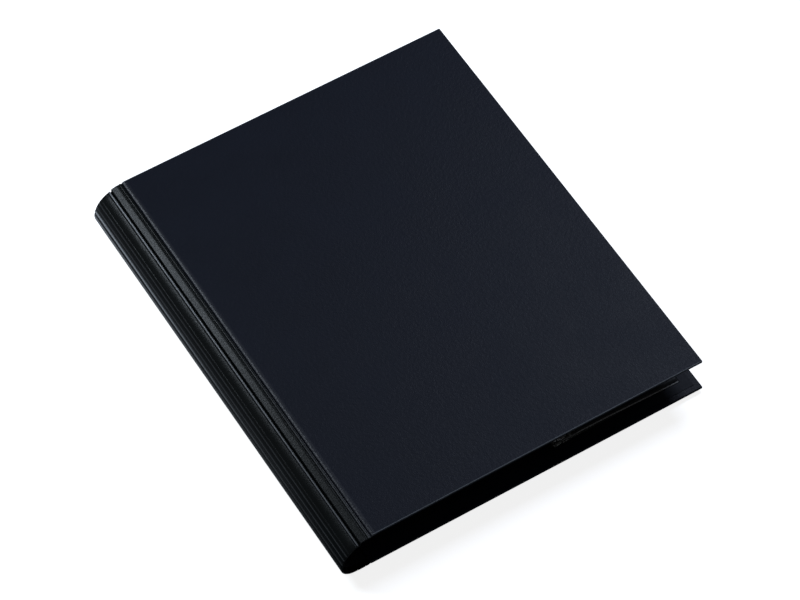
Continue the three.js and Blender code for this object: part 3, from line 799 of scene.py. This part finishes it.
def hinge_lining(name, low, high, node):
    """A thin strip of lining paper that bends over the inside of a joint."""
    end = HALF_HEIGHT - LINING_END_MARGIN
    strip = run_section([*low, *high[::-1]], -end, end, LENGTH_STEPS // 2)
    piece = finish_piece(strip, name, lining_black, [node])
    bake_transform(piece)


front_lining_under = eased([(15.1, 30.1), (16.6, 30.32), (18.6, 30.38), (21.5, 30.28)], 8)
front_lining_top = [(s, z + LINING_PAPER) for s, z in front_lining_under]
hinge_lining("front_hinge_inside", front_lining_under, front_lining_top,
             "front_hinge_lining")
back_lining_top = eased([(12.3, 1.3), (14.5, 1.3), (17.2, 1.42), (20.1, 1.6)], 8)
back_lining_under = [(s, z - LINING_PAPER) for s, z in back_lining_top]
hinge_lining("back_hinge_inside", back_lining_under, back_lining_top,
             "back_hinge_lining")

# %% [markdown]
# ## The covers
#
# Each cover is a board wrapped in the covering. The back cover keeps the frame's board. The
# front cover's is cut back from the hinge, so that it stays inside the drawn-out shoulder.

# %%
CORE_START = 25.3
CORE_STEPS = 12

core_length = FRONT_FORE_EDGE - BOARD_FACE - CORE_START
core_stations = [CORE_START + core_length * i / CORE_STEPS for i in range(CORE_STEPS + 1)]
core_face = [(s, FOLDER_THICKNESS - BOARD_FACE) for s in core_stations]
core_back = [(s, FOLDER_THICKNESS - BOARD_BACK) for s in core_stations]
front_core = finish_piece(
    run_section([core_back[0], *core_face, *core_back[:0:-1]],
                BOARD_FACE - HALF_HEIGHT, HALF_HEIGHT - BOARD_FACE, 8),
    "front_core", grey_board, ["front_board"])
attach(front_core, "front_cover")

# %% [markdown]
# The covering turns in over the board's edges and leaves a sunk panel for the lining. The
# slab is run from its section, with a rounded shoulder at the hinge. Its sharp edges are
# then bevelled, which is how paper sits over a cut board, and the panel on its inner face is
# pressed in.

# %%
EDGE_RADIUS = 0.55
COVER_STEPS = 32
FACE_STEPS = 26


def cover_section(fore_edge, shift):
    """Section of a wrapped cover by (s, depth from its outer face)."""
    edge, flat_start = SHOULDER_START + shift, BOARD_START + shift
    shoulder = arc((flat_start, SHOULDER_DROP),
                   (flat_start - edge, SHOULDER_DROP), 180, 270, 12)
    flat = [(flat_start + (fore_edge - flat_start) * i / FACE_STEPS, 0.0)
            for i in range(1, FACE_STEPS + 1)]
    inner = [(fore_edge - (fore_edge - edge) * i / FACE_STEPS, COVER_EDGE)
             for i in range(FACE_STEPS + 1)]
    return shoulder + flat + inner


def press_panel(bm, fore_edge, outward):
    """Presses the lining's panel into the inner face of a cover, on the given side."""
    low_s, high_s = PANEL_START, fore_edge - TURN_IN
    end = (HALF_HEIGHT - TURN_IN) * MM
    cuts = [((across(low_s), 0, 0), (1, 0, 0)), ((across(high_s), 0, 0), (1, 0, 0)),
            ((0, -end, 0), (0, 1, 0)), ((0, end, 0), (0, 1, 0))]
    for point, normal in cuts:
        geometry = [*bm.verts, *bm.edges, *bm.faces]
        bmesh.ops.bisect_plane(bm, geom=geometry, dist=1e-6, plane_co=point, plane_no=normal)
    bm.normal_update()
    panel = [
        f for f in bm.faces
        if f.normal.z * outward < -0.9
        and across(low_s) < f.calc_center_median().x < across(high_s)
        and abs(f.calc_center_median().y) < end
    ]
    bmesh.ops.inset_region(
        bm, faces=panel, thickness=0.02 * MM, depth=(RECESS_DEPTH - COVER_EDGE) * MM)


def cover_wrap(name, fore_edge, front, node, body):
    """The covering of one cover, wrapped round its board."""
    height = (lambda d: FOLDER_THICKNESS - d) if front else (lambda d: d)
    shift = FRONT_SHOULDER_SHIFT if front else 0.0
    section = [(s, height(d)) for s, d in cover_section(fore_edge, shift)]
    bm = run_section(section, -HALF_HEIGHT, HALF_HEIGHT, COVER_STEPS)
    bm.normal_update()
    sharp = [e for e in bm.edges
             if len(e.link_faces) == 2 and e.calc_face_angle(0) > math.radians(50)]
    bevel(bm, sharp, EDGE_RADIUS, 4)
    press_panel(bm, fore_edge, 1 if front else -1)
    piece = finish_piece(
        bm, name, cover_leatherette, [node], weighted=True)
    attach(piece, body)


cover_wrap(
    "front_cover_wrap", FRONT_FORE_EDGE, True, "front_skin", "front_cover")
cover_wrap(
    "back_cover_wrap", FOLDER_WIDTH, False, "back_skin", "back_cover")

# %% [markdown]
# ## The pocket on the inside of the back cover
#
# A sheet of thin card is held along the fore-edge. At each end a folded bellows of book
# cloth joins it to the cover, so that the pocket can swell. Towards the seam at the
# fore-edge the pocket thins out.

# %%
POCKET_MOUTH = 163.0
POCKET_FORE = FOLDER_WIDTH - 11.0
POCKET_END = HALF_HEIGHT - 11.0
POCKET_FLOOR = 2.05
SEAM_WIDTH = 3
TAPER_REACH = 55
THINNEST = 0.06
PANEL_RISE = 2.6
SHEET_THICKNESS = 0.0003


def taper(s):
    """Share of the pocket's full depth: it thins out towards its seam at the fore-edge."""
    return min(1.0, max(THINNEST, (POCKET_FORE - SEAM_WIDTH - s) / TAPER_REACH))


def thicken(piece, thickness):
    """Gives a sheet its thickness, half of it to each side."""
    modifier = piece.modifiers.new("sheet_thickness", "SOLIDIFY")
    modifier.thickness = thickness
    modifier.offset = 0


PANEL_STATIONS = (POCKET_MOUTH, 175, 188, 200, 212, 224, 236, 246, POCKET_FORE - SEAM_WIDTH)
panel_line = eased(
    [(s, POCKET_FLOOR + 0.15 + PANEL_RISE * taper(s)) for s in PANEL_STATIONS]
    + [(POCKET_FORE, POCKET_FLOOR + 0.2)], 8)
panel = run_section(panel_line, -POCKET_END, POCKET_END, 70, closed=False)
panel.normal_update()
sag(panel, depth=0.12, scale=22, seed=8.3)
back_pocket_sheet = finish_piece(
    panel, "back_pocket_sheet", pocket_black, ["back_pocket_panel"])
thicken(back_pocket_sheet, SHEET_THICKNESS)
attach(back_pocket_sheet, "back_cover")

# %% [markdown]
# Each bellows is folded into three leaves between the lining and the panel. Near the mouth
# of the pocket it has risen and is crumpled from use: that rumpled corner is what shows in
# the gap at the tail of the closed folder.

# %%
FOLDED_LEAVES = [
    (7.0, 0.16), (1.2, 0.2), (0.25, 0.45), (1.2, 0.75), (4.4, 0.95), (5.3, 1.2),
    (4.4, 1.5), (1.2, 1.75), (0.25, 2.05), (1.2, 2.4), (6.6, 2.45)]
BELLOWS_START = POCKET_MOUTH - 1.5
SEAM_GAP = 4.6
BELLOWS_STEPS = 90
SWELL_REACH = 26.0
MOUTH_RISE = 1.1
MOUTH_SWAY = 1.2
LEAF_WAVE = 2.2
CRUMPLE_REACH = 24
GUSSET_THICKNESS = 0.00022


def swell(s):
    """How far the mouth of the pocket has risen, from 1 at the mouth to 0 further in."""
    return max(0.0, 1 - (s - POCKET_MOUTH) / SWELL_REACH) ** 2


def crumple(bm, strength, scale, seed, start, reach):
    """Creases a sheet near the pocket's mouth with a seeded, ridged noise."""
    for v in bm.verts:
        s = station(v.co.x)
        share = max(0.0, 1 - (s - start) / reach)
        place = Vector((v.co.x * scale, v.co.y * scale, v.co.z * scale + seed))
        ridged = 1 - 2 * abs(noise.noise(place))
        v.co.z += strength * MM * share * ridged
        v.co.y += 0.5 * strength * MM * share * noise.noise(place * 1.7 + Vector((seed, 3, 1)))


def pocket_bellows(name, end, node, seed):
    """One folded end of the pocket, with three leaves between the lining and the panel."""
    fold = eased(FOLDED_LEAVES, 5)
    bm = bmesh.new()
    ring = [bm.verts.new((across(BELLOWS_START), end * (POCKET_END - inward) * MM,
                          (POCKET_FLOOR + up) * MM)) for inward, up in fold]
    edges = [bm.edges.new(pair) for pair in zip(ring, ring[1:])]
    length = POCKET_FORE - SEAM_GAP - BELLOWS_START
    extrude_run(bm, edges, (length * MM / BELLOWS_STEPS, 0, 0), BELLOWS_STEPS)
    for v in bm.verts:
        s = station(v.co.x)
        up = v.co.z / MM - POCKET_FLOOR
        v.co.z += up * MM * (MOUTH_RISE * swell(s) + taper(s) - 1)
        v.co.y += end * MM * MOUTH_SWAY * swell(s) * math.sin(up * LEAF_WAVE)
    crumple(bm, strength=1.0, scale=700, seed=seed, start=BELLOWS_START, reach=CRUMPLE_REACH)
    bmesh.ops.recalc_face_normals(bm, faces=bm.faces)
    piece = finish_piece(bm, name, gusset_black, [node], sharp=180)
    thicken(piece, GUSSET_THICKNESS)
    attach(piece, "back_cover")


pocket_bellows("back_pocket_bellows_tail", -1, "back_pocket_gusset_tail", 2.3)
pocket_bellows("back_pocket_bellows_head", 1, "back_pocket_gusset_head", 9.1)

# %% [markdown]
# ## Parts of the frame that keep their shape
#
# The back cover's board, the linings, the flat pockets of the front cover and the ring
# mechanism are right as they are in the frame, so they only get their finishes.

# %%
finishes = {
    "grey_board": grey_board,
    "lining_paper": lining_black,
    "pocket_paper": pocket_black,
    "nickelled_steel": nickel_plate,
    "spring_steel": spring_steel,
}
for part in frame["record"]["subparts"]:
    node = frame["nodes"][part["node"]]
    if not node.hide_render:
        node.data.materials.clear()
        node.data.materials.append(finishes[part["material_slot"]])
        print(node.name, "keeps its shape, finish:", part["material_slot"])

# %% [markdown]
# ## The floor
#
# The folder lies on a white floor. It glows for the camera alone, a little below white
# round the folder and white further out, so that no horizon shows and no glow reaches the
# folder. It lies a little low, because the spine's foot comes down there when it leans back.

# %%
FOOT_DIP = 2.1
FLOOR_HALF = 3.0
GLOW_NEAR, GLOW_FAR = 0.85, 1.0
GLOW_REACH = (0.5, 1.2)

floor_mesh = bmesh.new()
bmesh.ops.create_grid(floor_mesh, x_segments=24, y_segments=24, size=FLOOR_HALF)
floor_data = bpy.data.meshes.new("floor")
bmesh.ops.translate(floor_mesh, verts=floor_mesh.verts, vec=(0, 0, -FOOT_DIP * MM))
floor_mesh.to_mesh(floor_data)
floor_mesh.free()
floor = bpy.data.objects.new("floor", floor_data)
bpy.context.scene.collection.objects.link(floor)

floor_white, floor_tree, floor_shader, floor_place = start_material("floor_white")
floor_shader.inputs["Base Color"].default_value = (0.50, 0.50, 0.50, 1)
floor_shader.inputs["Roughness"].default_value = 0.9
floor_shader.inputs["Specular IOR Level"].default_value = 0.1
floor_path = floor_tree.nodes.new("ShaderNodeLightPath")
floor_reach = add_node(floor_tree, "ShaderNodeVectorMath", operation="LENGTH")
floor_tree.links.new(floor_place, floor_reach.inputs[0])
floor_tone = map_range(
    floor_tree, floor_reach.outputs["Value"], *GLOW_REACH, GLOW_NEAR, GLOW_FAR)
seen_floor = math_node(
    floor_tree, "MULTIPLY", floor_path.outputs["Is Camera Ray"], floor_tone)
floor_glow = add_node(floor_tree, "ShaderNodeEmission", in_Color=(1, 1, 1, 1))
floor_tree.links.new(seen_floor, floor_glow.inputs["Strength"])
floor_sum = floor_tree.nodes.new("ShaderNodeAddShader")
floor_tree.links.new(floor_shader.outputs[0], floor_sum.inputs[0])
floor_tree.links.new(floor_glow.outputs[0], floor_sum.inputs[1])
floor_end = floor_tree.nodes["Material Output"]
floor_tree.links.new(floor_sum.outputs[0], floor_end.inputs["Surface"])
floor_data.materials.append(floor_white)
print("floor:", 2 * FLOOR_HALF, "m wide, its glow white from", GLOW_REACH[1], "m out")

# %% [markdown]
# ## The white surroundings
#
# The camera sees a white world. Reflections see only a share of that white, and diffuse
# light almost none of it, or the near-black paper would look grey.

# %%
REFLECTED_SHARE = 0.4
AMBIENT_STRENGTH = 0.05

world = bpy.data.worlds.new("studio")
bpy.context.scene.world = world
world.use_nodes = True
world_tree = world.node_tree
background = world_tree.nodes["Background"]
world_path = world_tree.nodes.new("ShaderNodeLightPath")
seen_in_gloss = math_node(world_tree, "ADD", world_path.outputs["Is Glossy Ray"],
                          world_path.outputs["Is Transmission Ray"])
seen_at_all = math_node(world_tree, "MULTIPLY_ADD", seen_in_gloss, REFLECTED_SHARE,
                        world_path.outputs["Is Camera Ray"])
world_strength = math_node(world_tree, "MAXIMUM", seen_at_all, AMBIENT_STRENGTH)
world_tree.links.new(world_strength, background.inputs["Strength"])
background.inputs["Color"].default_value = (1, 1, 1, 1)
print("world:", world.name)

# %% [markdown]
# ## The light
#
# A long soft box stands behind the spine's head and draws the highlights along the spine.
# A second one hangs high beyond the fore-edge and lights the front cover. Both are cool.

# %%
def soft_box(name, place, aim, size, energy, colour, along):
    """A rectangular area light at a place, facing a point, its length along a direction."""
    light = bpy.data.lights.new(name, "AREA")
    light.color = colour
    light.shape = "RECTANGLE"
    light.size, light.size_y = size
    light.energy = energy
    lamp = bpy.data.objects.new(name, light)
    bpy.context.scene.collection.objects.link(lamp)
    away = (Vector(place) - Vector(aim)).normalized()
    length = Vector(along)
    length = (length - away * length.dot(away)).normalized()
    turn = Matrix((length, away.cross(length), away)).transposed().to_4x4()
    lamp.matrix_world = Matrix.Translation(place) @ turn
    print(name, "at", place)


soft_box("spine_box", place=(-0.511, 0.70, 0.909), aim=(-0.125, 0.157, 0.03),
         size=(0.62, 0.20), energy=11.3, colour=(0.80, 0.90, 1.0), along=(0.87, 0.0, 0.48))
soft_box("fore_box", place=(0.74, 0.40, 1.15), aim=(0.02, -0.02, 0.03),
         size=(0.45, 0.45), energy=12.5, colour=(0.73, 0.815, 1.0), along=(0, 1, 0))

# %% [markdown]
# ## The camera
#
# A long lens looks down at the folder from beyond the spine's tail end.

# %%
camera_data = bpy.data.cameras.new("photo_camera")
camera_data.sensor_width = 36.0
camera_data.lens = 170.14
camera = bpy.data.objects.new("photo_camera", camera_data)
bpy.context.scene.collection.objects.link(camera)
camera_right = (0.85409, -0.52000, -0.01116)
camera_up = (0.43317, 0.69927, 0.56867)
camera_back = (-0.28791, -0.49053, 0.82249)
camera_place = Vector((-0.69786, -1.19657, 2.00979))
turn = Matrix((camera_right, camera_up, camera_back)).transposed().to_4x4()
camera.matrix_world = Matrix.Translation(camera_place) @ turn
bpy.context.scene.camera = camera
bpy.context.scene.view_settings.view_transform = "Standard"
print("camera:", round(camera_data.lens, 2), "mm lens,", round(camera_place.length, 2), "m away")
